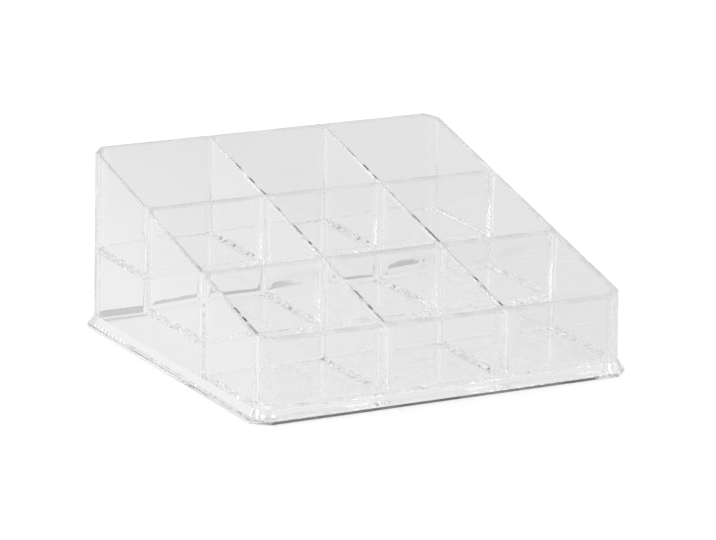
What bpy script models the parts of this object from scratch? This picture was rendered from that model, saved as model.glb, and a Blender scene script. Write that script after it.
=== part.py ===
"""Storage organizer: a clear moulded tray with nine stepped pockets on a flat base plate.

Metres, +Z up. The front is at -Y. The origin is the middle of the face that the organizer rests on.
"""

import math

import bmesh
import bpy
from mathutils import Vector

# Outer body, measured at its foot line
BODY_WIDTH = 0.170
BODY_DEPTH = 0.168
CORNER_CHAMFER = 0.0052
FRONT_HEIGHT = 0.0343
BACK_HEIGHT = 0.0789

# Pockets
COLUMNS = 3
ROWS = 3
WALL = 0.0019
FLOOR_STEP = 0.0144
FLOOR_THICKNESS = 0.0020
POCKET_CORNER_RADIUS = 0.0038
FLOOR_FILLET = 0.0018

# Mould details
DRAFT_ANGLE = math.radians(0.6)
TOP_EDGE_ROUND = 0.0005

# Hollow under the floors
HOLLOW_WALL = 0.0021
HOLLOW_DEPTH_AT_FRONT = 0.0022
HOLLOW_CORNER_RADIUS = 0.0020
HOLLOW_LEDGE = 0.0001

# Foot that flares out below the body, and the plate under it
FOOT_OVERHANG = 0.0028
FOOT_RISE = 0.0036
PLATE_THICKNESS = 0.0015
PLATE_EDGE_BEVEL = 0.0002
JOINT_GAP = 0.0003

# Most of a wall or a corner that its rounding may take
EDGE_ROUND_SHARE = 0.35
FLOOR_FILLET_SHARE = 0.75

# How far cutters run past what they cut
OVERRUN = 0.004
RIM_OVERRUN = 0.00005

# Roundness of the arcs
CORNER_STEPS = 6
FILLET_STEPS = 3
ROUND_STEPS = 2
SHARP_ANGLE = math.radians(35)

# Clear polystyrene
PLASTIC_COLOUR = (0.93, 0.94, 0.95, 1.0)
PLASTIC_ROUGHNESS = 0.06
PLASTIC_INDEX = 1.59

# Places worked out from the sizes above
DRAFT = math.tan(DRAFT_ANGLE)
TRAY_BOTTOM = PLATE_THICKNESS + JOINT_GAP
FOOT_LINE = TRAY_BOTTOM + FOOT_RISE
FRONT_FLOOR_HEIGHT = TRAY_BOTTOM + HOLLOW_DEPTH_AT_FRONT + FLOOR_THICKNESS
EDGE_ROUND = min(TOP_EDGE_ROUND, EDGE_ROUND_SHARE * WALL)
MITRE = 2 - math.sqrt(2)
WALL_LEAN = DRAFT * (BACK_HEIGHT - FOOT_LINE)
FRONT_LEAN = DRAFT * (FRONT_HEIGHT - FOOT_LINE)
TOP_SLOPE = (BACK_HEIGHT - FRONT_HEIGHT) / (BODY_DEPTH - WALL_LEAN - FRONT_LEAN)
POCKET_WIDTH = (BODY_WIDTH - 2 * WALL_LEAN - (COLUMNS + 1) * WALL) / COLUMNS
POCKET_DEPTH = (BODY_DEPTH - 2 * WALL_LEAN - (ROWS + 1) * WALL) / ROWS


def clear_scene():
    """Remove what the file opened with."""
    for thing in list(bpy.data.objects):
        bpy.data.objects.remove(thing, do_unlink=True)


def clear_plastic(name):
    """The clear, colourless plastic of one piece."""
    material = bpy.data.materials.new(name)
    material.use_nodes = True
    shader = material.node_tree.nodes["Principled BSDF"]
    shader.inputs["Base Color"].default_value = PLASTIC_COLOUR
    shader.inputs["Metallic"].default_value = 0.0
    shader.inputs["Roughness"].default_value = PLASTIC_ROUGHNESS
    shader.inputs["IOR"].default_value = PLASTIC_INDEX
    shader.inputs["Transmission Weight"].default_value = 1.0
    return material


def add_loft(name, rings):
    """A closed solid through rings of equal length, each running counter-clockwise from below to above."""
    mesh = bmesh.new()
    rows = [[mesh.verts.new(point) for point in ring] for ring in rings]
    count = len(rows[0])
    for lower, upper in zip(rows, rows[1:]):
        for i in range(count):
            j = (i + 1) % count
            mesh.faces.new((lower[i], lower[j], upper[j], upper[i]))
    mesh.faces.new(list(reversed(rows[0])))
    mesh.faces.new(rows[-1])
    data = bpy.data.meshes.new(name)
    mesh.to_mesh(data)
    mesh.free()
    solid = bpy.data.objects.new(name, data)
    bpy.context.collection.objects.link(solid)
    return solid


def shading_group():
    """Node group that shades a mesh smooth, but for its edges sharper than the sharp angle."""
    group = bpy.data.node_groups.new("smooth but for sharp edges", "GeometryNodeTree")
    group.interface.new_socket("Mesh", in_out="INPUT", socket_type="NodeSocketGeometry")
    group.interface.new_socket("Mesh", in_out="OUTPUT", socket_type="NodeSocketGeometry")
    start = group.nodes.new("NodeGroupInput")
    smooth = group.nodes.new("GeometryNodeSetShadeSmooth")
    angle = group.nodes.new("GeometryNodeInputMeshEdgeAngle")
    sharper = group.nodes.new("FunctionNodeCompare")
    sharper.operation = "GREATER_THAN"
    sharper.inputs["B"].default_value = SHARP_ANGLE
    sharp = group.nodes.new("GeometryNodeSetShadeSmooth")
    sharp.domain = "EDGE"
    sharp.inputs["Shade Smooth"].default_value = False
    end = group.nodes.new("NodeGroupOutput")
    group.links.new(start.outputs["Mesh"], smooth.inputs["Geometry"])
    group.links.new(smooth.outputs["Geometry"], sharp.inputs["Geometry"])
    group.links.new(angle.outputs["Unsigned Angle"], sharper.inputs["A"])
    group.links.new(sharper.outputs["Result"], sharp.inputs["Selection"])
    group.links.new(sharp.outputs["Geometry"], end.inputs["Mesh"])
    return group


def finish_solid(solid, material, shading):
    """Give a piece its material, and shade its arcs smooth."""
    solid.data.materials.append(material)
    step = solid.modifiers.new("smooth but for sharp edges", "NODES")
    step.node_group = shading
    flat = solid.modifiers.new("flat faces beside the arcs", "WEIGHTED_NORMAL")
    flat.keep_sharp = True


def cut(solid, cutter):
    """Cut one solid out of another, and put the cutter out of sight."""
    step = solid.modifiers.new("cut " + cutter.name, "BOOLEAN")
    step.operation = "DIFFERENCE"
    step.solver = "EXACT"
    step.object = cutter
    cutter.hide_render = True
    cutter.display_type = "WIRE"


def top_height(y):
    """Height of the sloping top plane at a depth."""
    return BACK_HEIGHT + TOP_SLOPE * (y + WALL_LEAN - BODY_DEPTH / 2)


def body_outline(grow):
    """Corners of the chamfered body outline at the foot line, moved outwards by grow."""
    half_width = BODY_WIDTH / 2 + grow
    half_depth = BODY_DEPTH / 2 + grow
    chamfer = CORNER_CHAMFER + MITRE * grow
    corners = []
    for side_x, side_y in ((1, -1), (1, 1), (-1, 1), (-1, -1)):
        on_side = (side_x * half_width, side_y * (half_depth - chamfer))
        on_end = (side_x * (half_width - chamfer), side_y * half_depth)
        corners += [on_end, on_side] if side_x * side_y < 0 else [on_side, on_end]
    return corners


def body_ring(grow, height):
    """Level ring of the body outline, with the draft of the walls above the foot line."""
    lean = DRAFT * max(height - FOOT_LINE, 0)
    return [Vector((x, y, height)) for x, y in body_outline(grow - lean)]


def body_top_ring(inset, drop):
    """Ring of the body outline on the sloping top plane, moved in by inset and down by drop."""
    ring = []
    for foot, step in zip(body_outline(0), body_outline(1)):
        lean_x = step[0] - foot[0]
        lean_y = step[1] - foot[1]
        start_y = foot[1] - inset * lean_y
        height = (top_height(start_y) - drop + TOP_SLOPE * lean_y * DRAFT * FOOT_LINE) / (
            1 + TOP_SLOPE * lean_y * DRAFT)
        move = inset + DRAFT * (height - FOOT_LINE)
        ring.append(Vector((foot[0] - move * lean_x, foot[1] - move * lean_y, height)))
    return ring


def rounded_corners(x_low, x_high, y_low, y_high, radii):
    """Arc centres, radii and directions round a rectangle, counter-clockwise from its front left corner."""
    places = ((x_low, y_low, 1, 1, 180), (x_high, y_low, -1, 1, 270),
              (x_high, y_high, -1, -1, 0), (x_low, y_high, 1, -1, 90))
    arcs = []
    for (x, y, way_x, way_y, start), radius in zip(places, radii):
        centre = (x + way_x * radius, y + way_y * radius)
        for i in range(CORNER_STEPS + 1):
            angle = math.radians(start + 90 * i / CORNER_STEPS)
            arcs.append((centre, radius, math.cos(angle), math.sin(angle)))
    return arcs


def level_ring(arcs, grow, height):
    """Level ring of a rounded rectangle, moved outwards by grow."""
    return [Vector((cx + (radius + grow) * across, cy + (radius + grow) * along, height))
            for (cx, cy), radius, across, along in arcs]


def pocket_level_ring(arcs, grow, height):
    """Level ring of a pocket, whose walls open with the draft towards the top."""
    return level_ring(arcs, grow - DRAFT * (BACK_HEIGHT - height), height)


def pocket_top_ring(arcs, grow, drop):
    """Ring of a pocket on the sloping top plane, moved out by grow and down by drop."""
    ring = []
    for (cx, cy), radius, across, along in arcs:
        reach = radius + grow - DRAFT * BACK_HEIGHT
        height = (top_height(cy + reach * along) - drop) / (1 - TOP_SLOPE * DRAFT * along)
        reach += DRAFT * height
        ring.append(Vector((cx + reach * across, cy + reach * along, height)))
    return ring


def pocket_place(column, row):
    """Low and high corners of a pocket in plan, at the height of the back wall's top."""
    x_low = WALL_LEAN + WALL + column * (POCKET_WIDTH + WALL) - BODY_WIDTH / 2
    y_low = WALL_LEAN + WALL + row * (POCKET_DEPTH + WALL) - BODY_DEPTH / 2
    return x_low, x_low + POCKET_WIDTH, y_low, y_low + POCKET_DEPTH


def floor_height(row):
    """Height of the floors of a row of pockets, the front row first."""
    return FRONT_FLOOR_HEIGHT + row * FLOOR_STEP


def hollow_ceiling(row):
    """Height of the underside of a row's floors."""
    return floor_height(row) - FLOOR_THICKNESS


def chamfer_radius(wall):
    """Inner corner radius that leaves a full wall behind the body's chamfer."""
    radius = (wall + (CORNER_CHAMFER - 2 * wall) / math.sqrt(2)) / (math.sqrt(2) - 1)
    return max(radius, POCKET_CORNER_RADIUS)


def pocket_radii(column, row):
    """Corner radii of a pocket, larger where the corner lies behind the body's chamfer."""
    outer_corners = ((0, 0), (COLUMNS - 1, 0), (COLUMNS - 1, ROWS - 1), (0, ROWS - 1))
    return [chamfer_radius(WALL) if (column, row) == corner else POCKET_CORNER_RADIUS
            for corner in outer_corners]


def pocket_cutter(column, row):
    """The hollow of one pocket: filleted floor, drafted walls and a rounded rim on the sloping top."""
    arcs = rounded_corners(*pocket_place(column, row), pocket_radii(column, row))
    floor = floor_height(row)
    radius_at_floor = POCKET_CORNER_RADIUS - DRAFT * (BACK_HEIGHT - floor)
    fillet = min(FLOOR_FILLET, FLOOR_FILLET_SHARE * radius_at_floor)
    rings = []
    for i in range(FILLET_STEPS + 1):
        angle = math.pi / 2 * i / FILLET_STEPS
        inset = fillet * (1 - math.sin(angle))
        rise = fillet * (1 - math.cos(angle))
        rings.append(pocket_level_ring(arcs, -inset, floor + rise))
    for i in range(ROUND_STEPS + 1):
        angle = math.pi / 2 * i / ROUND_STEPS
        grow = EDGE_ROUND * (1 - math.cos(angle))
        drop = EDGE_ROUND * (1 - math.sin(angle))
        rings.append(pocket_top_ring(arcs, grow, drop if i < ROUND_STEPS else -RIM_OVERRUN))
    rings.append([Vector((point.x, point.y, BACK_HEIGHT + OVERRUN)) for point in rings[-1]])
    return add_loft("pocket cutter %d %d" % (column + 1, row + 1), rings)


def foot_spread(height):
    """How far the flared foot stands out of the body at a height."""
    return FOOT_OVERHANG * (FOOT_LINE - height) / FOOT_RISE


def foot_cutter():
    """The shallow hollow inside the foot, with upright walls, up to the underside of the front floors."""
    half_width = BODY_WIDTH / 2 - HOLLOW_WALL
    half_depth = BODY_DEPTH / 2 - HOLLOW_WALL
    radii = [chamfer_radius(HOLLOW_WALL)] * 4
    arcs = rounded_corners(-half_width, half_width, -half_depth, half_depth, radii)
    ceiling = hollow_ceiling(0)
    turn = min(ceiling, FOOT_LINE)
    rings = [level_ring(arcs, 0, height) for height in (TRAY_BOTTOM - OVERRUN, turn)]
    if ceiling > FOOT_LINE:
        rings.append(level_ring(arcs, DRAFT * (FOOT_LINE - ceiling), ceiling))
    return add_loft("foot cutter", rings)


def riser_back(row):
    """Depth, at the foot line, of the back face of the wall that rises in front of a row's hollow."""
    front_row_high = pocket_place(0, row - 1)[3] - WALL_LEAN
    return front_row_high + HOLLOW_WALL


def hollow_cutter(row):
    """The hollow under the floors of one row and of the rows behind it."""
    wall = HOLLOW_WALL + row * HOLLOW_LEDGE
    half_width = BODY_WIDTH / 2 - wall
    back_radius = chamfer_radius(wall)
    radii = [HOLLOW_CORNER_RADIUS, HOLLOW_CORNER_RADIUS, back_radius, back_radius]
    arcs = rounded_corners(-half_width, half_width, riser_back(row), BODY_DEPTH / 2 - wall, radii)
    low = (TRAY_BOTTOM + hollow_ceiling(0)) / 2
    rings = [level_ring(arcs, DRAFT * (FOOT_LINE - height), height) for height in (low, hollow_ceiling(row))]
    return add_loft("hollow cutter %d" % (row + 1), rings)


def add_tray(material, shading):
    """The moulding: outer walls, dividers, cross walls, stepped floors and the flared foot."""
    rings = [body_ring(foot_spread(height), height) for height in (TRAY_BOTTOM, FOOT_LINE)]
    for i in range(ROUND_STEPS + 1):
        angle = math.pi / 2 * i / ROUND_STEPS
        inset = EDGE_ROUND * (1 - math.cos(angle))
        drop = EDGE_ROUND * (1 - math.sin(angle))
        rings.append(body_top_ring(inset, drop))
    tray = add_loft("tray", rings)
    for row in range(ROWS):
        for column in range(COLUMNS):
            cut(tray, pocket_cutter(column, row))
    cut(tray, foot_cutter())
    for row in range(1, ROWS):
        cut(tray, hollow_cutter(row))
    finish_solid(tray, material, shading)


def add_base_plate(material, shading):
    """The flat plate under the foot, with its edges broken by a small bevel."""
    inner = FOOT_OVERHANG - PLATE_EDGE_BEVEL
    low = PLATE_EDGE_BEVEL
    high = PLATE_THICKNESS - PLATE_EDGE_BEVEL
    rings = [body_ring(inner, 0), body_ring(FOOT_OVERHANG, low)]
    rings += [body_ring(FOOT_OVERHANG, high), body_ring(inner, PLATE_THICKNESS)]
    finish_solid(add_loft("base_plate", rings), material, shading)


def main():
    clear_scene()
    shading = shading_group()
    add_tray(clear_plastic("clear plastic tray"), shading)
    add_base_plate(clear_plastic("clear plastic plate"), shading)


if __name__ == "__main__":
    main()
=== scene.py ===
"""Clear plastic storage organizer: its looks, laid out as an add-on and run as a script.

Metres, +Z up, the front at -Y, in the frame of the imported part.
"""

import math

import bmesh
import bpy
from bpy.props import FloatProperty, FloatVectorProperty, IntProperty, PointerProperty
from mathutils import Matrix, Vector


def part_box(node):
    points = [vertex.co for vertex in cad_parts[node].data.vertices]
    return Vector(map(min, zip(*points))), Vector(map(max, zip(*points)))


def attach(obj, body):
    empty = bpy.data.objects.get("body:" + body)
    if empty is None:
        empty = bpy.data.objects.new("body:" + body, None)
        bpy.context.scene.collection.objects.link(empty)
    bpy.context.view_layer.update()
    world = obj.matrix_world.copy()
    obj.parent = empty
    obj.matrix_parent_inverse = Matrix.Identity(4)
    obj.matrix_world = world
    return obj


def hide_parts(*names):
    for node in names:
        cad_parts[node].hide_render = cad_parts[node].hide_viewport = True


bl_info = {
    "name": "Clear Storage Organizer",
    "version": (1, 0, 0),
    "blender": (4, 5, 0),
    "location": "3D View > Sidebar > Organizer",
    "description": "Builds a clear moulded organizer with nine stepped pockets on a base plate",
    "category": "Add Mesh",
}

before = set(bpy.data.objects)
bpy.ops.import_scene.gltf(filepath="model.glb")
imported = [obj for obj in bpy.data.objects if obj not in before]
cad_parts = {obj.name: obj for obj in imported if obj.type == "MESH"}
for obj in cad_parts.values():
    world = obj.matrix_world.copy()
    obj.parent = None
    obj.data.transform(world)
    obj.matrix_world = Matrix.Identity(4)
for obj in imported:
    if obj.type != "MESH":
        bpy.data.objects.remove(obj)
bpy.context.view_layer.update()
TRAY_LOW, TRAY_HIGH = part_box("tray")
PLATE_LOW, PLATE_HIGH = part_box("base_plate")

BODY = "root"

# The camera's sensor, and how far it sees
SENSOR_WIDTH = 36.0
CLIP_END = 100.0

# Roundness of the arcs
CORNER_STEPS = 12
FILLET_STEPS = 6
ROUND_STEPS = 4
SHARP_ANGLE = math.radians(35)

# Shares of a face's normal that lie along one axis, where each finish starts and where it is full
CURVED_FACE = (0.995, 0.93)
LEANING_FACE = (0.1, 0.3)
RUNNING_FACE = (0.5, 0.3)
# The plate's front face, which gets painted shade
PAINTED_SHADE_FACE = (0.85, 0.95)
FLARE_TOLERANCE = 0.04

# Length over which the painted shade on the plate's front edge fades out
PAINTED_SHADE_FADE = 0.004

# Faint cloudiness and handling marks: features to the metre, detail and distortion
CLOUDS = (30.0, 3.0)
SCUFFS = (140.0, 6.0, 1.5)
SCUFF_RANGE = (0.62, 0.80)
RIPPLE_DETAIL = 0.5

# Light that runs along inside a wall or the plate turns this often before it comes out
GUIDED_BOUNCES = 256

# Most of a wall or a corner that its rounding may take
EDGE_ROUND_SHARE = 0.35
FLOOR_FILLET_SHARE = 0.75

# How far cutters run past what they cut
OVERRUN = 0.004
RIM_OVERRUN = 0.00005

# Softboxes and dark parts of the studio: azimuth from +Y to +X, elevation and reach in degrees, and the
# brightness they add
SURROUNDINGS = (
    (300, 45, 22, 1.20),
    (290, 22, 22, 0.35),
    (240, 22, 16, 0.35),
    (0, 48, 20, 0.70),
    (95, 14, 26, 0.55),
    (150, 20, 14, 0.15),
    (330, 18, 16, 0.12),
    (210, 14, 22, -0.65),
    (0, 90, 30, -0.10),
)

# Share of its reach within which such a patch is at its full brightness
GLOW_CORE_SHARE = 0.6

# The foot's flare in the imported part, which gives the body's width from the tray's box
FOOT_OVERHANG = 0.0028

# Floor: half its width, its drop below the plate and its roughness
FLOOR_HALF = 3.0
FLOOR_DROP = 0.0002
FLOOR_ROUGHNESS = 0.9

# Brightness of the floor seen through plastic from left to right, and its fall in front of the plate
FLOOR_LEVELS = ((-0.4, 1.05), (-0.2, 1.08), (-0.12, 1.20), (-0.09, 1.12), (-0.08, 1.06), (0.0, 1.03),
                (0.11, 0.97), (0.25, 0.98), (0.5, 1.02))
FRONT_FADE = 0.02
FRONT_LEVEL = 0.92

# Rims: where they start and are full, in edge roundings below the top plane, and their satin patches
RIM_FADE = (1.6, 0.9)
RIM_PATCHES = (0.42, 0.55)

# How far inside the side walls, in pockets, the dividers' own finish ends
DIVIDER_END = 0.25

# Polished halves of the rims that run from front to back: their sides in walls from the middle line, how far
# the left wall's is polished, and over how much of a pocket that sets in
BRIGHT_HALF = ((-0.75, -0.6), (0.0, -0.2))
LEFT_RIM_POLISH = 0.65
LEFT_RIM_CHANGE = 0.05

# Dark glints painted on those rims as dark reflections: their sides in walls from the middle line, how far
# they lie from the middle at most, the fade of their ends, then for each line, in pockets from the middle,
# where each glint starts and ends and how dark it is
GLINT_SIDES = ((-0.12, 0.05), (0.65, 0.45))
GLINT_REACH = 0.09
GLINT_FADE = 0.0012
GLINTS = (
    (-1.5, ((-0.078, -0.069, 0.7), (-0.068, -0.063, 1), (-0.0615, -0.0555, 0.9), (-0.027, -0.0205, 0.5))),
    (-0.5, ((-0.0815, -0.0725, 0.65), (-0.071, -0.066, 0.95), (-0.062, -0.054, 0.85),
            (-0.0215, -0.0175, 0.6), (-0.016, -0.012, 1), (-0.0075, 0.002, 0.8), (0.013, 0.018, 0.75),
            (0.0275, 0.0335, 0.85), (0.038, 0.0445, 1), (0.051, 0.0575, 0.85))),
    (0.5, ((-0.0805, -0.0755, 0.9), (-0.067, -0.062, 0.65), (-0.06, -0.055, 0.95), (-0.026, -0.012, 0.95),
           (-0.009, -0.001, 0.8), (0.014, 0.019, 0.65), (0.03, 0.0355, 0.9), (0.038, 0.045, 1),
           (0.0515, 0.0605, 0.6))),
)

# Painted dark reflections as dots, and satin blobs, on the rounded floor edges: size, rarity and strength
PAINTED_DOT_SIZE = 0.0028
PAINTED_DOT_RANGE = (0.60, 0.67)
PAINTED_DOT_SHARE = 0.75
BLOB_SIZE = 0.0042
BLOB_RANGE = (0.50, 0.44)
BLOB_ROUGHNESS = 0.3

# Darker strip of floor under the back foot: its middle, how far it bends back from left to right, features
# to the metre and height of its waves, its half width where it is gone and where it is full, and the fade
# of its ends
FOOT_SHADOW_PLACE = TRAY_HIGH.y - FOOT_OVERHANG
FOOT_SHADOW_BEND = ((-0.09, 0.0), (-0.06, 0.0005), (-0.02, 0.0015), (0.0, 0.002), (0.008, 0.0022),
                    (0.014, 0.0045), (0.019, 0.0055), (0.025, 0.009), (0.033, 0.006), (0.040, 0.002),
                    (0.0573, 0.0035), (0.064, 0.011), (0.070, 0.0145), (0.078, 0.020), (0.09, 0.020))
FOOT_SHADOW_WAVES = (70.0, 0.006)
FOOT_SHADOW_WIDTH = (0.0054, 0.0018)
FOOT_SHADOW_END = 0.002

# Grid on which the shader nodes are laid out
NODES_IN_ROW = 8
NODE_WIDTH = 200
NODE_HEIGHT = 340


def length_property(name, description, default):
    """A size of the organizer in metres."""
    return FloatProperty(name=name, description=description, default=default, min=0.0, precision=5,
                         subtype="DISTANCE", unit="LENGTH")


def angle_property(name, description, default):
    """An angle in radians."""
    return FloatProperty(name=name, description=description, default=default, subtype="ANGLE",
                         unit="ROTATION")


def share_property(name, description, default):
    """A share from nothing to all."""
    return FloatProperty(name=name, description=description, default=default, min=0.0, max=1.0,
                         subtype="FACTOR")


def colour_property(name, description, default):
    """A colour."""
    return FloatVectorProperty(name=name, description=description, default=default, size=3, min=0.0,
                               max=1.0, subtype="COLOR")


class TraySizes(bpy.types.PropertyGroup):
    """Sizes of the moulded tray."""

    body_width: length_property("Body width", "Width of the body at its foot line",
                                TRAY_HIGH.x - TRAY_LOW.x - 2 * FOOT_OVERHANG)
    body_depth: length_property("Body depth", "Depth of the body at its foot line",
                                TRAY_HIGH.y - TRAY_LOW.y - 2 * FOOT_OVERHANG)
    corner_chamfer: length_property("Corner chamfer", "Cut across each upright corner", 0.0052)
    front_height: length_property("Front height", "Height of the front wall's top", 0.0343)
    back_height: length_property("Back height", "Height of the back wall's top", 0.0789)
    columns: IntProperty(name="Columns", description="Pockets side by side", default=3, min=1)
    rows: IntProperty(name="Rows", description="Pockets from front to back", default=3, min=1)
    wall: length_property("Wall", "Thickness of the walls at their tops", 0.0019)
    floor_step: length_property("Floor step", "Rise from one row's floor to the next", 0.0144)
    floor_thickness: length_property("Floor thickness", "Thickness of the pockets' floors", 0.0020)
    pocket_radius: length_property("Pocket corner radius", "Upright corners of the pockets", 0.0038)
    floor_fillet: length_property("Floor fillet", "Rounding where a floor meets the walls", 0.0018)
    draft_angle: angle_property("Draft", "Lean of the moulded walls", math.radians(0.6))
    top_edge_round: length_property("Rim rounding", "Rounding of the sloping rims", 0.0005)
    hollow_wall: length_property("Hollow wall", "Walls round the hollow under the floors", 0.0021)
    hollow_depth: length_property("Hollow depth", "Depth of the hollow under the front floors", 0.0022)
    hollow_radius: length_property("Hollow corner radius", "Front corners of the hollow", 0.0020)
    hollow_ledge: length_property("Hollow ledge", "Step in the hollow's walls from row to row", 0.0001)
    foot_overhang: length_property("Foot overhang", "How far the foot flares out", FOOT_OVERHANG)
    foot_rise: length_property("Foot rise", "Height of the flared foot", 0.0036)


class PlateSizes(bpy.types.PropertyGroup):
    """Sizes of the flat base plate."""

    thickness: length_property("Plate thickness", "Thickness of the plate", PLATE_HIGH.z - PLATE_LOW.z)
    edge_bevel: length_property("Edge bevel", "Bevel round the plate's edges", 0.0002)
    # Painted shade on the plate's front edge: its colour, and how far from the right end it stops
    front_edge_painted_shade: colour_property("Cut edge tint", "Colour of the front cut edge", (0.07, 0.07, 0.07))
    unshaded_end: length_property("Clear end", "How far the front edge stays pale at its right end", 0.0150)
    wave_height: length_property("Wave height", "Height of the sheet's slow waves", 0.000001)
    edge_waves: share_property("Edge waves", "Share of the tray's ripples on the sheet's bevels", 0.01)


class PlasticLook(bpy.types.PropertyGroup):
    """Finish of the clear plastic."""

    tint: colour_property("Tint", "Colour of the clear plastic", (1.0, 1.0, 1.0))
    haze_tint: colour_property("Haze tint", "Colour where the plastic is cloudier", (0.998, 0.999, 1.0))
    index: FloatProperty(name="Index of refraction", description="Of polystyrene", default=1.59, min=1.0)
    roughness: share_property("Roughness", "Of the polished faces", 0.0)
    scuff_roughness: share_property("Scuff roughness", "Of the faint handling marks", 0.02)
    wave_size: length_property("Wave size", "Length of the moulding's slow waves", 0.011)
    wave_height: length_property("Wave height", "Height of the moulding's slow waves", 0.00003)
    ripple_size: length_property("Ripple size", "Length of the short ripples on the edges", 0.003)
    ripple_height: length_property("Ripple height", "Height of the short ripples", 0.0005)
    upright_ripples: share_property("Upright ripples", "Share of the ripples on upright corners", 0.1)
    corner_roughness: share_property("Corner roughness", "Of the rounded corners", 0.04)
    rim_roughness: share_property("Rim roughness", "Of the walls' tops, in satin patches", 0.5)
    rim_polish: share_property("Rim polish", "Roughness of the walls' tops between the patches", 0.3)
    rim_patch_size: length_property("Rim patch size", "Length of the satin patches along the rims", 0.012)
    # Colour of the painted dark reflections: the glints on the rims and the dots on the floors' edges
    painted_reflection_tint: colour_property("Glint tint", "Colour of the dark glints and dots", (0.01, 0.01, 0.012))
    foot_roughness: share_property("Foot roughness", "Of the flared foot's outside", 0.12)


class StageLook(bpy.types.PropertyGroup):
    """Floor, surroundings and camera."""

    backdrop: FloatProperty(name="Backdrop", description="Brightness of the backdrop to the camera",
                            default=1.0, min=0.0)
    surround: FloatProperty(name="Surround", description="Brightness of the studio seen through plastic",
                            default=0.79, min=0.0)
    floor_fill: FloatProperty(name="Floor fill", description="Light added to the floor for the camera",
                              default=0.7, min=0.0)
    floor_albedo: FloatProperty(name="Floor colour", description="Grey of the floor", default=0.45, min=0.0)
    foot_shadow: share_property("Foot shadow", "How much darker the floor is under the back foot", 0.5)
    lens: FloatProperty(name="Lens", description="Focal length", default=201.37, min=1.0,
                        subtype="DISTANCE_CAMERA", unit="CAMERA")
    camera_place: FloatVectorProperty(name="Camera place", description="Where the camera stands", size=3,
                                      default=(-0.76432, -1.459637, 0.468905), subtype="TRANSLATION",
                                      unit="LENGTH")
    camera_yaw: angle_property("Camera yaw", "Turn to the right from +Y", 0.4839)
    camera_pitch: angle_property("Camera pitch", "Tilt down from level", 0.2577)
    camera_roll: angle_property("Camera roll", "Turn about the line of sight", 0.0110)


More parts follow.
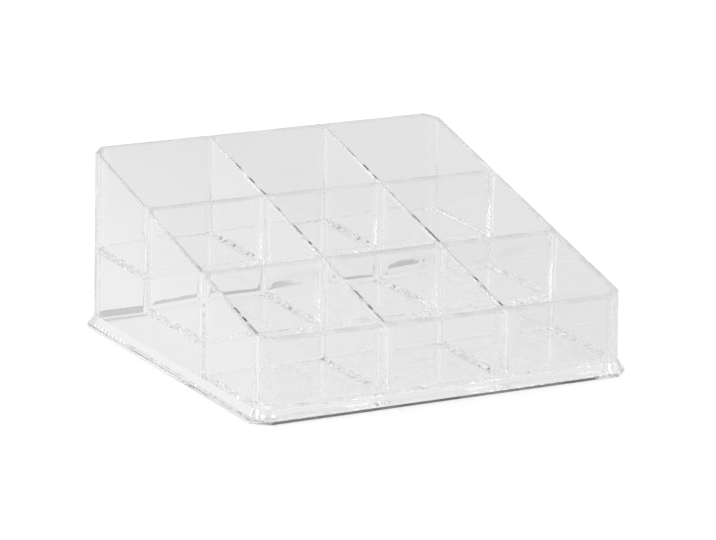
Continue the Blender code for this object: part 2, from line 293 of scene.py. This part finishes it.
class TrayForm:
    """Rings and places of the tray, worked out from its sizes."""

    def __init__(self, sizes, bottom, top):
        self.sizes = sizes
        self.bottom = bottom
        self.top = top
        self.draft = math.tan(sizes.draft_angle)
        self.foot_line = bottom + sizes.foot_rise
        self.front_floor = bottom + sizes.hollow_depth + sizes.floor_thickness
        self.edge_round = min(sizes.top_edge_round, EDGE_ROUND_SHARE * sizes.wall)
        self.wall_lean = self.draft * (top - self.foot_line)
        front_lean = self.draft * (sizes.front_height - self.foot_line)
        rise = top - sizes.front_height
        self.slope = rise / (sizes.body_depth - self.wall_lean - front_lean)
        walls_across = (sizes.columns + 1) * sizes.wall
        walls_along = (sizes.rows + 1) * sizes.wall
        self.pocket_width = (sizes.body_width - 2 * self.wall_lean - walls_across) / sizes.columns
        self.pocket_depth = (sizes.body_depth - 2 * self.wall_lean - walls_along) / sizes.rows
        self.pitch = self.pocket_width + sizes.wall
        self.divider_reach = (sizes.columns / 2 - DIVIDER_END) * self.pitch

    def top_height(self, y):
        """Height of the sloping top plane at a depth."""
        return self.top + self.slope * (y + self.wall_lean - self.sizes.body_depth / 2)

    def body_outline(self, grow):
        """Corners of the chamfered body outline at the foot line, moved outwards by grow."""
        half_width = self.sizes.body_width / 2 + grow
        half_depth = self.sizes.body_depth / 2 + grow
        chamfer = self.sizes.corner_chamfer + (2 - math.sqrt(2)) * grow
        corners = []
        for side_x, side_y in ((1, -1), (1, 1), (-1, 1), (-1, -1)):
            on_side = (side_x * half_width, side_y * (half_depth - chamfer))
            on_end = (side_x * (half_width - chamfer), side_y * half_depth)
            corners += [on_end, on_side] if side_x * side_y < 0 else [on_side, on_end]
        return corners

    def body_ring(self, grow, height):
        """Level ring of the body outline, with the draft of the walls above the foot line."""
        lean = self.draft * max(height - self.foot_line, 0)
        return [Vector((x, y, height)) for x, y in self.body_outline(grow - lean)]

    def body_top_ring(self, inset, drop):
        """Ring of the body outline on the sloping top plane, moved in by inset and down by drop."""
        ring = []
        for foot, step in zip(self.body_outline(0), self.body_outline(1)):
            lean_x = step[0] - foot[0]
            lean_y = step[1] - foot[1]
            start_y = foot[1] - inset * lean_y
            share = self.slope * lean_y * self.draft
            height = (self.top_height(start_y) - drop + share * self.foot_line) / (1 + share)
            move = inset + self.draft * (height - self.foot_line)
            ring.append(Vector((foot[0] - move * lean_x, foot[1] - move * lean_y, height)))
        return ring

    def pocket_level_ring(self, arcs, grow, height):
        """Level ring of a pocket, whose walls open with the draft towards the top."""
        return level_ring(arcs, grow - self.draft * (self.top - height), height)

    def pocket_top_ring(self, arcs, grow, drop):
        """Ring of a pocket on the sloping top plane, moved out by grow and down by drop."""
        ring = []
        for (cx, cy), radius, across, along in arcs:
            reach = radius + grow - self.draft * self.top
            height = (self.top_height(cy + reach * along) - drop) / (1 - self.slope * self.draft * along)
            reach += self.draft * height
            ring.append(Vector((cx + reach * across, cy + reach * along, height)))
        return ring

    def pocket_place(self, column, row):
        """Low and high corners of a pocket in plan, at the height of the back wall's top."""
        edge = self.wall_lean + self.sizes.wall
        x_low = edge + column * self.pitch - self.sizes.body_width / 2
        y_low = edge + row * (self.pocket_depth + self.sizes.wall) - self.sizes.body_depth / 2
        return x_low, x_low + self.pocket_width, y_low, y_low + self.pocket_depth

    def floor_height(self, row):
        """Height of the floors of a row of pockets, the front row first."""
        return self.front_floor + row * self.sizes.floor_step

    def hollow_ceiling(self, row):
        """Height of the underside of a row's floors."""
        return self.floor_height(row) - self.sizes.floor_thickness

    def chamfer_radius(self, wall):
        """Inner corner radius that leaves a full wall behind the body's chamfer."""
        radius = (wall + (self.sizes.corner_chamfer - 2 * wall) / math.sqrt(2)) / (math.sqrt(2) - 1)
        return max(radius, self.sizes.pocket_radius)

    def pocket_radii(self, column, row):
        """Corner radii of a pocket, larger where the corner lies behind the body's chamfer."""
        last_column = self.sizes.columns - 1
        last_row = self.sizes.rows - 1
        outer_corners = ((0, 0), (last_column, 0), (last_column, last_row), (0, last_row))
        return [self.chamfer_radius(self.sizes.wall) if (column, row) == corner
                else self.sizes.pocket_radius for corner in outer_corners]

    def foot_spread(self, height):
        """How far the flared foot stands out of the body at a height."""
        return self.sizes.foot_overhang * (self.foot_line - height) / self.sizes.foot_rise

    def body_rings(self):
        """Rings of the outside, from the flared foot up to the rounded top edge."""
        rings = [self.body_ring(self.foot_spread(height), height)
                 for height in (self.bottom, self.foot_line)]
        for i in range(ROUND_STEPS + 1):
            angle = math.pi / 2 * i / ROUND_STEPS
            inset = self.edge_round * (1 - math.cos(angle))
            drop = self.edge_round * (1 - math.sin(angle))
            rings.append(self.body_top_ring(inset, drop))
        return rings

    def pocket_rings(self, column, row):
        """Rings of one pocket: filleted floor, drafted walls and a rounded rim on the sloping top."""
        arcs = rounded_corners(*self.pocket_place(column, row), self.pocket_radii(column, row))
        floor = self.floor_height(row)
        radius_at_floor = self.sizes.pocket_radius - self.draft * (self.top - floor)
        fillet = min(self.sizes.floor_fillet, FLOOR_FILLET_SHARE * radius_at_floor)
        rings = []
        for i in range(FILLET_STEPS + 1):
            angle = math.pi / 2 * i / FILLET_STEPS
            inset = fillet * (1 - math.sin(angle))
            rise = fillet * (1 - math.cos(angle))
            rings.append(self.pocket_level_ring(arcs, -inset, floor + rise))
        for i in range(ROUND_STEPS + 1):
            angle = math.pi / 2 * i / ROUND_STEPS
            grow = self.edge_round * (1 - math.cos(angle))
            drop = self.edge_round * (1 - math.sin(angle))
            rings.append(self.pocket_top_ring(arcs, grow, drop if i < ROUND_STEPS else -RIM_OVERRUN))
        rings.append([Vector((point.x, point.y, self.top + OVERRUN)) for point in rings[-1]])
        return rings

    def foot_rings(self):
        """Rings of the shallow hollow inside the foot, with upright walls, up to the front floors."""
        wall = self.sizes.hollow_wall
        half_width = self.sizes.body_width / 2 - wall
        half_depth = self.sizes.body_depth / 2 - wall
        radii = [self.chamfer_radius(wall)] * 4
        arcs = rounded_corners(-half_width, half_width, -half_depth, half_depth, radii)
        low = self.bottom - OVERRUN
        ceiling = self.hollow_ceiling(0)
        turn = min(ceiling, self.foot_line)
        rings = [level_ring(arcs, 0, height) for height in (low, turn)]
        if ceiling > self.foot_line:
            rings.append(level_ring(arcs, self.draft * (self.foot_line - ceiling), ceiling))
        return rings

    def hollow_rings(self, row):
        """Rings of the hollow under the floors of one row and of the rows behind it."""
        wall = self.sizes.hollow_wall + row * self.sizes.hollow_ledge
        half_width = self.sizes.body_width / 2 - wall
        front = self.pocket_place(0, row - 1)[3] - self.wall_lean + self.sizes.hollow_wall
        back = self.sizes.body_depth / 2 - wall
        back_radius = self.chamfer_radius(wall)
        radii = [self.sizes.hollow_radius, self.sizes.hollow_radius, back_radius, back_radius]
        arcs = rounded_corners(-half_width, half_width, front, back, radii)
        low = (self.bottom + self.hollow_ceiling(0)) / 2
        return [level_ring(arcs, self.draft * (self.foot_line - height), height)
                for height in (low, self.hollow_ceiling(row))]


def rounded_corners(x_low, x_high, y_low, y_high, radii):
    """Arc centres, radii and directions round a rectangle, counter-clockwise from its front left corner."""
    places = ((x_low, y_low, 1, 1, 180), (x_high, y_low, -1, 1, 270),
              (x_high, y_high, -1, -1, 0), (x_low, y_high, 1, -1, 90))
    arcs = []
    for (x, y, way_x, way_y, start), radius in zip(places, radii):
        centre = (x + way_x * radius, y + way_y * radius)
        for i in range(CORNER_STEPS + 1):
            angle = math.radians(start + 90 * i / CORNER_STEPS)
            arcs.append((centre, radius, math.cos(angle), math.sin(angle)))
    return arcs


def level_ring(arcs, grow, height):
    """Level ring of a rounded rectangle, moved outwards by grow."""
    return [Vector((cx + (radius + grow) * across, cy + (radius + grow) * along, height))
            for (cx, cy), radius, across, along in arcs]


def loft_object(name, rings):
    """A closed solid through rings of equal length, each running counter-clockwise from below to above."""
    mesh = bmesh.new()
    rows = [[mesh.verts.new(point) for point in ring] for ring in rings]
    count = len(rows[0])
    for lower, upper in zip(rows, rows[1:]):
        for i in range(count):
            j = (i + 1) % count
            mesh.faces.new((lower[i], lower[j], upper[j], upper[i]))
    mesh.faces.new(list(reversed(rows[0])))
    mesh.faces.new(rows[-1])
    data = bpy.data.meshes.new(name)
    mesh.to_mesh(data)
    mesh.free()
    solid = bpy.data.objects.new(name, data)
    bpy.context.scene.collection.objects.link(solid)
    return solid


def cut_all(solid, cutters):
    """Cut the cutters out of a solid, keep the result as its mesh, and remove the cutters."""
    for cutter in cutters:
        step = solid.modifiers.new(cutter.name, "BOOLEAN")
        step.operation = "DIFFERENCE"
        step.solver = "EXACT"
        step.object = cutter
    graph = bpy.context.evaluated_depsgraph_get()
    result = bpy.data.meshes.new_from_object(solid.evaluated_get(graph))
    if not result.polygons:
        raise RuntimeError("cutting %s left nothing" % solid.name)
    solid.modifiers.clear()
    old = solid.data
    solid.data = result
    bpy.data.meshes.remove(old)
    result.name = solid.name
    for cutter in cutters:
        data = cutter.data
        bpy.data.objects.remove(cutter, do_unlink=True)
        bpy.data.meshes.remove(data)


def shade_moulded(solid):
    """Shade the arcs smooth and the flat faces flat, with a clean edge where they meet sharply."""
    mesh = bmesh.new()
    mesh.from_mesh(solid.data)
    for face in mesh.faces:
        face.smooth = True
    for edge in mesh.edges:
        edge.smooth = edge.calc_face_angle(math.pi) <= SHARP_ANGLE
    mesh.to_mesh(solid.data)
    mesh.free()
    flat = solid.modifiers.new("Flat faces beside the arcs", "WEIGHTED_NORMAL")
    flat.keep_sharp = True


def add_node(tree, kind, inputs=(), **settings):
    """A shader node in the next place of the grid, whose inputs are linked to sockets or set to values."""
    node = tree.nodes.new("ShaderNode" + kind)
    row, column = divmod(len(tree.nodes), NODES_IN_ROW)
    node.location = (NODE_WIDTH * (column - NODES_IN_ROW), -NODE_HEIGHT * row)
    for key, value in settings.items():
        setattr(node, key, value)
    for key, value in dict(inputs).items():
        if isinstance(value, bpy.types.NodeSocket):
            tree.links.new(value, node.inputs[key])
        else:
            node.inputs[key].default_value = value
    return node


def calculate(tree, operation, *values, clamp=False):
    """The result of an operation on sockets and numbers."""
    node = add_node(tree, "Math", enumerate(values), operation=operation, use_clamp=clamp)
    return node.outputs["Value"]


def multiply(tree, *values):
    """The product of sockets and numbers."""
    product = values[0]
    for value in values[1:]:
        product = calculate(tree, "MULTIPLY", product, value)
    return product


def change_range(tree, value, low, high, start=0.0, end=1.0, way="SMOOTHSTEP"):
    """A value that goes from start, at low, to end, at high, and no further."""
    inputs = {"Value": value, "From Min": low, "From Max": high, "To Min": start, "To Max": end}
    return add_node(tree, "MapRange", inputs, interpolation_type=way).outputs["Result"]


def level_curve(tree, value, points):
    """A level that changes in straight lines from point to point along a coordinate."""
    first, last = points[0][0], points[-1][0]
    scale = max(level for _, level in points)
    along = change_range(tree, value, first, last, way="LINEAR")
    ramp = add_node(tree, "FloatCurve", {"Value": along})
    curve = ramp.mapping.curves[0]
    for i, (x, level) in enumerate(points):
        spot = ((x - first) / (last - first), level / scale)
        if 0 < i < len(points) - 1:
            point = curve.points.new(*spot)
        else:
            point = curve.points[0 if i == 0 else -1]
            point.location = spot
        point.handle_type = "VECTOR"
    ramp.mapping.update()
    return calculate(tree, "MULTIPLY", ramp.outputs["Value"], scale)


def noise(tree, coordinates, scale, detail=1.0, distortion=0.0):
    """Noise with a number of features to the metre."""
    inputs = {"Vector": coordinates, "Scale": scale, "Detail": detail, "Distortion": distortion}
    return add_node(tree, "TexNoise", inputs).outputs["Fac"]


def spot_mask(tree, coordinates, size, low, high):
    """One inside scattered spots of about a size, and zero between them."""
    return change_range(tree, noise(tree, coordinates, 1 / size), low, high)


def blend(tree, share, first, second):
    """Two colours mixed by a share."""
    inputs = {"Factor": share, "A": first, "B": second}
    return add_node(tree, "Mix", inputs, data_type="RGBA").outputs["Result"]


def dot_product(tree, vector, other):
    """The dot product of a vector and a constant one."""
    return add_node(tree, "VectorMath", {0: vector, 1: other}, operation="DOT_PRODUCT").outputs["Value"]


def split(tree, vector):
    """The X, Y and Z parts of a vector."""
    return add_node(tree, "SeparateXYZ", {"Vector": vector}).outputs


def face_parts(tree, normal):
    """How far a face's normal lies along X, Y and Z, the same from both sides of the face."""
    size = add_node(tree, "VectorMath", {0: normal}, operation="ABSOLUTE")
    return split(tree, size.outputs["Vector"])


def curved_faces(tree, lean):
    """One on the rounded corners and fillets, zero on the flat walls and floors."""
    widest = calculate(tree, "MAXIMUM", calculate(tree, "MAXIMUM", lean["X"], lean["Y"]), lean["Z"])
    return change_range(tree, widest, *CURVED_FACE)


def source(socket):
    """What is linked to an input."""
    return socket.links[0].from_socket


def tint_faces(tree, shader, share, colour):
    """Turn the clear plastic to a colour by a share."""
    base = shader.inputs["Base Color"]
    tree.links.new(blend(tree, share, source(base), (*colour, 1.0)), base)


def rim_glints(tree, spot, form):
    """How dark the painted glints are on the right half of the rims that run from front to back."""
    wall = form.sizes.wall
    total = 0.0
    for line, glints in GLINTS:
        points = [(-GLINT_REACH, 0.0)]
        for low, high, level in glints:
            points += [(low, 0.0), (low + GLINT_FADE, level), (high - GLINT_FADE, level), (high, 0.0)]
        points.append((GLINT_REACH, 0.0))
        middle = line * form.pitch
        sides = [change_range(tree, spot["X"], middle + start * wall, middle + end * wall)
                 for start, end in GLINT_SIDES]
        marks = multiply(tree, level_curve(tree, spot["Y"], points), *sides)
        total = calculate(tree, "MAXIMUM", total, marks)
    return total


def bright_halves(tree, spot, form):
    """One on the left halves of the dividers' rims, which stay polished, and less on the left wall's."""
    pitch, wall, reach = form.pitch, form.sizes.wall, form.divider_reach
    middle = (form.sizes.columns % 2) * pitch / 2
    across = calculate(tree, "WRAP", spot["X"], middle - pitch / 2, middle + pitch / 2)
    sides = [change_range(tree, across, middle + start * wall, middle + end * wall)
             for start, end in BRIGHT_HALF]
    inner = calculate(tree, "COMPARE", spot["X"], 0.0, reach)
    outer = change_range(tree, spot["X"], -reach, -reach - LEFT_RIM_CHANGE * pitch, 0.0, LEFT_RIM_POLISH,
                         "LINEAR")
    return multiply(tree, calculate(tree, "MAXIMUM", inner, outer), *sides)


def floor_edges(tree, lean, foot, rim):
    """One on the rounded edges that run from front to back along the pockets' floors."""
    edges = multiply(tree, change_range(tree, lean["Y"], *RUNNING_FACE),
                     change_range(tree, lean["Z"], *LEANING_FACE),
                     change_range(tree, lean["Z"], *CURVED_FACE))
    for cover in (foot, rim):
        edges = calculate(tree, "SUBTRACT", edges, cover, clamp=True)
    return edges


def finish_tray_edges(material, look, form):
    """Satin rims with dark glints, a satin foot, and dark dots and satin blobs along the floors' edges."""
    tree = material.node_tree
    shader = tree.nodes["Principled BSDF"]
    place = add_node(tree, "TexCoord").outputs
    spot = split(tree, place["Object"])
    lean = face_parts(tree, place["Normal"])

    height = dot_product(tree, place["Object"], (0.0, -form.slope, 1.0))
    rim = change_range(tree, height, *(form.top_height(0) - share * form.edge_round for share in RIM_FADE))
    foot = calculate(tree, "LESS_THAN", spot["Z"], form.foot_line)
    overhang = form.sizes.foot_overhang
    flare_lean = overhang / math.hypot(overhang, form.sizes.foot_rise)
    flare = multiply(tree, foot, calculate(tree, "COMPARE", lean["Z"], flare_lean, FLARE_TOLERANCE))
    edges = floor_edges(tree, lean, foot, rim)

    dull = calculate(tree, "SUBTRACT", rim, bright_halves(tree, spot, form), clamp=True)
    patches = noise(tree, place["Object"], 1 / look.rim_patch_size)
    satin = change_range(tree, patches, *RIM_PATCHES, look.rim_polish, look.rim_roughness)
    blobs = multiply(tree, edges, spot_mask(tree, place["Object"], BLOB_SIZE, *BLOB_RANGE))
    rough = source(shader.inputs["Roughness"])
    for mask, roughness in ((dull, satin), (flare, look.foot_roughness), (blobs, BLOB_ROUGHNESS)):
        rough = calculate(tree, "MAXIMUM", rough, multiply(tree, mask, roughness))
    tree.links.new(rough, shader.inputs["Roughness"])

    ripples = shader.inputs["Normal"].links[0].from_node.inputs["Strength"]
    strength = source(ripples)
    for smooth in (rim, flare):
        strength = calculate(tree, "SUBTRACT", strength, smooth, clamp=True)
    tree.links.new(strength, ripples)

    # Painted dark reflections: glints on the right halves of the rims
    glints = multiply(tree, rim_glints(tree, spot, form), rim)
    inside = calculate(tree, "LESS_THAN", spot["X"], form.divider_reach)
    # Painted dark reflections as dots along the floors' edges, tinted into the plastic like the glints
    dots = multiply(tree, spot_mask(tree, place["Object"], PAINTED_DOT_SIZE, *PAINTED_DOT_RANGE), inside, edges, PAINTED_DOT_SHARE)
    tint_faces(tree, shader, calculate(tree, "MAXIMUM", glints, dots), look.painted_reflection_tint)


def paint_front_edge_shade(material, plate):
    """Paint shade on the plate's front edge, which looks darker than its faces up to its right end."""
    tree = material.node_tree
    place = add_node(tree, "TexCoord").outputs
    lean = face_parts(tree, place["Normal"])
    spot = split(tree, place["Object"])
    end = PLATE_HIGH.x - plate.unshaded_end
    # Mask of the painted shade: the front face, up to the pale right end
    dark = multiply(tree, change_range(tree, lean["Y"], *PAINTED_SHADE_FACE, way="LINEAR"),
                    change_range(tree, spot["X"], end, end - PAINTED_SHADE_FADE),
                    calculate(tree, "LESS_THAN", spot["Y"], (PLATE_LOW.y + PLATE_HIGH.y) / 2))
    tint_faces(tree, tree.nodes["Principled BSDF"], dark, plate.front_edge_painted_shade)


def plastic_material(name, look, grain, wave_height, edge_share):
    """Clear plastic with faint cloudiness, handling marks, slow waves and a share of the edges' ripples."""
    material = bpy.data.materials.new(name)
    material.use_nodes = True
    tree = material.node_tree
    shader = tree.nodes["Principled BSDF"]
    shader.inputs["Metallic"].default_value = 0.0
    shader.inputs["IOR"].default_value = look.index
    shader.inputs["Transmission Weight"].default_value = 1.0
    place = add_node(tree, "TexCoord").outputs
    shift = add_node(tree, "Mapping", {"Vector": place["Object"], "Location": (grain, grain, grain)})
    grained = shift.outputs["Vector"]
    tone = blend(tree, noise(tree, grained, *CLOUDS), (*look.tint, 1.0), (*look.haze_tint, 1.0))

    gloss = change_range(tree, noise(tree, grained, *SCUFFS), *SCUFF_RANGE, look.roughness,
                         look.scuff_roughness, "LINEAR")
    lean = face_parts(tree, place["Normal"])
    curved = curved_faces(tree, lean)
    satin = multiply(tree, curved, look.corner_roughness * edge_share)
    rough = calculate(tree, "MAXIMUM", gloss, satin)

    leaning = change_range(tree, lean["Z"], *LEANING_FACE, look.upright_ripples)
    waves = noise(tree, grained, 1 / look.wave_size)
    ripples = noise(tree, grained, 1 / look.ripple_size, RIPPLE_DETAIL)
    slow = add_node(tree, "Bump", {"Strength": 1.0, "Distance": wave_height, "Height": waves})
    short = add_node(tree, "Bump", {"Strength": multiply(tree, curved, leaning), "Height": ripples,
                                    "Distance": look.ripple_height * edge_share,
                                    "Normal": slow.outputs["Normal"]})
    for key, socket in (("Base Color", tone), ("Roughness", rough), ("Normal", short.outputs["Normal"])):
        tree.links.new(socket, shader.inputs[key])
    return material


def finish_piece(solid, material, node):
    """Give a piece its finish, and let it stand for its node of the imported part."""
    solid.data.materials.clear()
    solid.data.materials.append(material)
    shade_moulded(solid)
    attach(solid, BODY)
    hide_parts(node)


def add_world(look):
    """White backdrop to the camera, and to all else a pale studio with soft bright and dark patches."""
    world = bpy.data.worlds.new("Pale studio")
    bpy.context.scene.world = world
    world.use_nodes = True
    tree = world.node_tree
    background = tree.nodes["Background"]
    background.inputs["Color"].default_value = (1.0, 1.0, 1.0, 1.0)
    way = add_node(tree, "TexCoord").outputs["Generated"]
    level = look.surround
    for azimuth, elevation, reach, amount in SURROUNDINGS:
        turn, rise, wide = (math.radians(angle) for angle in (azimuth, elevation, reach))
        towards = (math.sin(turn) * math.cos(rise), math.cos(turn) * math.cos(rise), math.sin(rise))
        patch = change_range(tree, dot_product(tree, way, towards), math.cos(wide),
                             math.cos(wide * GLOW_CORE_SHARE), 0.0, amount)
        level = calculate(tree, "ADD", level, patch)
    camera_ray = add_node(tree, "LightPath").outputs["Is Camera Ray"]
    inputs = {"Factor": camera_ray, "A": level, "B": look.backdrop}
    seen = add_node(tree, "Mix", inputs, data_type="FLOAT").outputs["Result"]
    tree.links.new(seen, background.inputs["Strength"])


def foot_shadow(tree, coordinates, spot):
    """One in a wavy, soft-edged strip of floor under the back foot, and zero elsewhere."""
    scale, height = FOOT_SHADOW_WAVES
    along = calculate(tree, "MULTIPLY_ADD", noise(tree, coordinates, scale), height, spot["Y"])
    bend = level_curve(tree, spot["X"], FOOT_SHADOW_BEND)
    middle = calculate(tree, "ADD", bend, FOOT_SHADOW_PLACE + height / 2)
    away = calculate(tree, "ABSOLUTE", calculate(tree, "SUBTRACT", along, middle))
    side = calculate(tree, "ABSOLUTE", spot["X"])
    return multiply(tree, change_range(tree, away, *FOOT_SHADOW_WIDTH),
                    change_range(tree, side, PLATE_HIGH.x, PLATE_HIGH.x - FOOT_SHADOW_END))


def floor_level(tree, look):
    """Brightness of the floor seen through plastic."""
    coordinates = add_node(tree, "TexCoord").outputs["Object"]
    spot = split(tree, coordinates)
    shadow = foot_shadow(tree, coordinates, spot)
    left = change_range(tree, shadow, 0.0, 1.0, 1.0, 1 - look.foot_shadow, "LINEAR")
    front = change_range(tree, spot["Y"], PLATE_LOW.y, PLATE_LOW.y - FRONT_FADE, 1.0, FRONT_LEVEL)
    return multiply(tree, level_curve(tree, spot["X"], FLOOR_LEVELS), look.surround, left, front)


def floor_material(look):
    """Pale matt floor, white to the camera with the organizer's shadow, and pale grey through plastic."""
    material = bpy.data.materials.new("Pale floor")
    material.use_nodes = True
    tree = material.node_tree
    matt = tree.nodes["Principled BSDF"]
    matt.inputs["Base Color"].default_value = (look.floor_albedo, look.floor_albedo, look.floor_albedo, 1.0)
    matt.inputs["Roughness"].default_value = FLOOR_ROUGHNESS
    matt.inputs["Specular IOR Level"].default_value = 0.0
    path = add_node(tree, "LightPath").outputs
    plastic_ray = calculate(tree, "MAXIMUM", path["Is Glossy Ray"], path["Is Transmission Ray"])
    fill = multiply(tree, path["Is Camera Ray"], look.floor_fill)
    lit = add_node(tree, "Emission", {"Strength": fill})
    through = add_node(tree, "Emission", {"Strength": floor_level(tree, look)})
    shown = add_node(tree, "AddShader", {0: matt.outputs["BSDF"], 1: lit.outputs["Emission"]})
    both = add_node(tree, "MixShader", {"Fac": plastic_ray, 1: shown.outputs["Shader"],
                                        2: through.outputs["Emission"]})
    tree.links.new(both.outputs["Shader"], tree.nodes["Material Output"].inputs["Surface"])
    return material


def add_floor(look):
    """A wide pale floor just below the base plate."""
    mesh = bpy.data.meshes.new("Floor")
    corners = [(FLOOR_HALF * x, FLOOR_HALF * y, -FLOOR_DROP)
               for x, y in ((-1, -1), (1, -1), (1, 1), (-1, 1))]
    mesh.from_pydata(corners, [], [(0, 1, 2, 3)])
    floor = bpy.data.objects.new("Floor", mesh)
    bpy.context.scene.collection.objects.link(floor)
    mesh.materials.append(floor_material(look))


def add_camera(look):
    """The camera at the picture's viewing angle."""
    data = bpy.data.cameras.new("Camera")
    data.sensor_width = SENSOR_WIDTH
    data.lens = look.lens
    data.clip_end = CLIP_END
    camera = bpy.data.objects.new("Camera", data)
    yaw, pitch, roll = look.camera_yaw, look.camera_pitch, look.camera_roll
    forward = Vector((math.sin(yaw) * math.cos(pitch), math.cos(yaw) * math.cos(pitch), -math.sin(pitch)))
    right = Vector((math.cos(yaw), -math.sin(yaw), 0.0))
    up = right.cross(forward)
    right_rolled = math.cos(roll) * right + math.sin(roll) * up
    up_rolled = math.cos(roll) * up - math.sin(roll) * right
    axes = Matrix((right_rolled, up_rolled, -forward)).transposed()
    camera.matrix_world = Matrix.Translation(look.camera_place) @ axes.to_4x4()
    bpy.context.scene.collection.objects.link(camera)
    bpy.context.scene.camera = camera


class ORGANIZER_OT_tray(bpy.types.Operator):
    """Build the clear tray with its stepped pockets"""

    bl_idname = "organizer.tray"
    bl_label = "Add Tray"

    def execute(self, context):
        sizes = context.scene.organizer_tray
        form = TrayForm(sizes, TRAY_LOW.z, sizes.back_height)
        tray = loft_object("clear_tray", form.body_rings())
        cutters = [loft_object("pocket %d %d" % (column + 1, row + 1), form.pocket_rings(column, row))
                   for row in range(sizes.rows) for column in range(sizes.columns)]
        cutters.append(loft_object("foot hollow", form.foot_rings()))
        cutters += [loft_object("hollow %d" % (row + 1), form.hollow_rings(row))
                    for row in range(1, sizes.rows)]
        cut_all(tray, cutters)
        look = context.scene.organizer_plastic
        material = plastic_material("Clear moulded plastic", look, grain=0.0,
                                    wave_height=look.wave_height, edge_share=1.0)
        finish_tray_edges(material, look, form)
        finish_piece(tray, material, "tray")
        return {"FINISHED"}


class ORGANIZER_OT_base_plate(bpy.types.Operator):
    """Build the flat plate under the tray"""

    bl_idname = "organizer.base_plate"
    bl_label = "Add Base Plate"

    def execute(self, context):
        sizes = context.scene.organizer_tray
        plate = context.scene.organizer_plate
        form = TrayForm(sizes, TRAY_LOW.z, sizes.back_height)
        outer = sizes.foot_overhang
        inner = outer - plate.edge_bevel
        bottom = PLATE_LOW.z
        top = bottom + plate.thickness
        rings = [form.body_ring(inner, bottom), form.body_ring(outer, bottom + plate.edge_bevel),
                 form.body_ring(outer, top - plate.edge_bevel), form.body_ring(inner, top)]
        solid = loft_object("clear_base_plate", rings)
        look = context.scene.organizer_plastic
        material = plastic_material("Clear sheet plastic", look, grain=0.5,
                                    wave_height=plate.wave_height, edge_share=plate.edge_waves)
        # Painted shade on the plate's front edge
        paint_front_edge_shade(material, plate)
        finish_piece(solid, material, "base_plate")
        return {"FINISHED"}


class ORGANIZER_OT_stage(bpy.types.Operator):
    """Set the floor, the surroundings and the camera"""

    bl_idname = "organizer.stage"
    bl_label = "Set Stage"

    def execute(self, context):
        look = context.scene.organizer_stage
        add_world(look)
        add_floor(look)
        add_camera(look)
        scene = context.scene
        scene.view_settings.view_transform = "Standard"
        scene.cycles.max_bounces = GUIDED_BOUNCES
        scene.cycles.glossy_bounces = GUIDED_BOUNCES
        scene.cycles.transmission_bounces = GUIDED_BOUNCES
        return {"FINISHED"}


class ORGANIZER_PT_panel(bpy.types.Panel):
    """The organizer's pieces in the sidebar"""

    bl_label = "Clear Storage Organizer"
    bl_idname = "ORGANIZER_PT_panel"
    bl_space_type = "VIEW_3D"
    bl_region_type = "UI"
    bl_category = "Organizer"

    def draw(self, context):
        layout = self.layout
        for operator, group in PANEL_ROWS:
            layout.operator(operator.bl_idname)
            values = getattr(context.scene, group)
            for name in values.bl_rna.properties.keys():
                if name not in ("name", "rna_type"):
                    layout.prop(values, name)


GROUPS = {
    "organizer_tray": TraySizes,
    "organizer_plate": PlateSizes,
    "organizer_plastic": PlasticLook,
    "organizer_stage": StageLook,
}
PANEL_ROWS = (
    (ORGANIZER_OT_tray, "organizer_tray"),
    (ORGANIZER_OT_base_plate, "organizer_plate"),
    (ORGANIZER_OT_stage, "organizer_stage"),
)
CLASSES = (*GROUPS.values(), ORGANIZER_OT_tray, ORGANIZER_OT_base_plate, ORGANIZER_OT_stage,
           ORGANIZER_PT_panel)


def register():
    """Add the sizes, the operators and the panel."""
    for kind in CLASSES:
        bpy.utils.register_class(kind)
    for name, group in GROUPS.items():
        setattr(bpy.types.Scene, name, PointerProperty(type=group))


def unregister():
    """Take the sizes, the operators and the panel away again."""
    for name in GROUPS:
        delattr(bpy.types.Scene, name)
    for kind in reversed(CLASSES):
        bpy.utils.unregister_class(kind)


def main():
    """Build the organizer and its stage."""
    register()
    bpy.ops.organizer.tray()
    bpy.ops.organizer.base_plate()
    bpy.ops.organizer.stage()


if __name__ == "__main__":
    main()
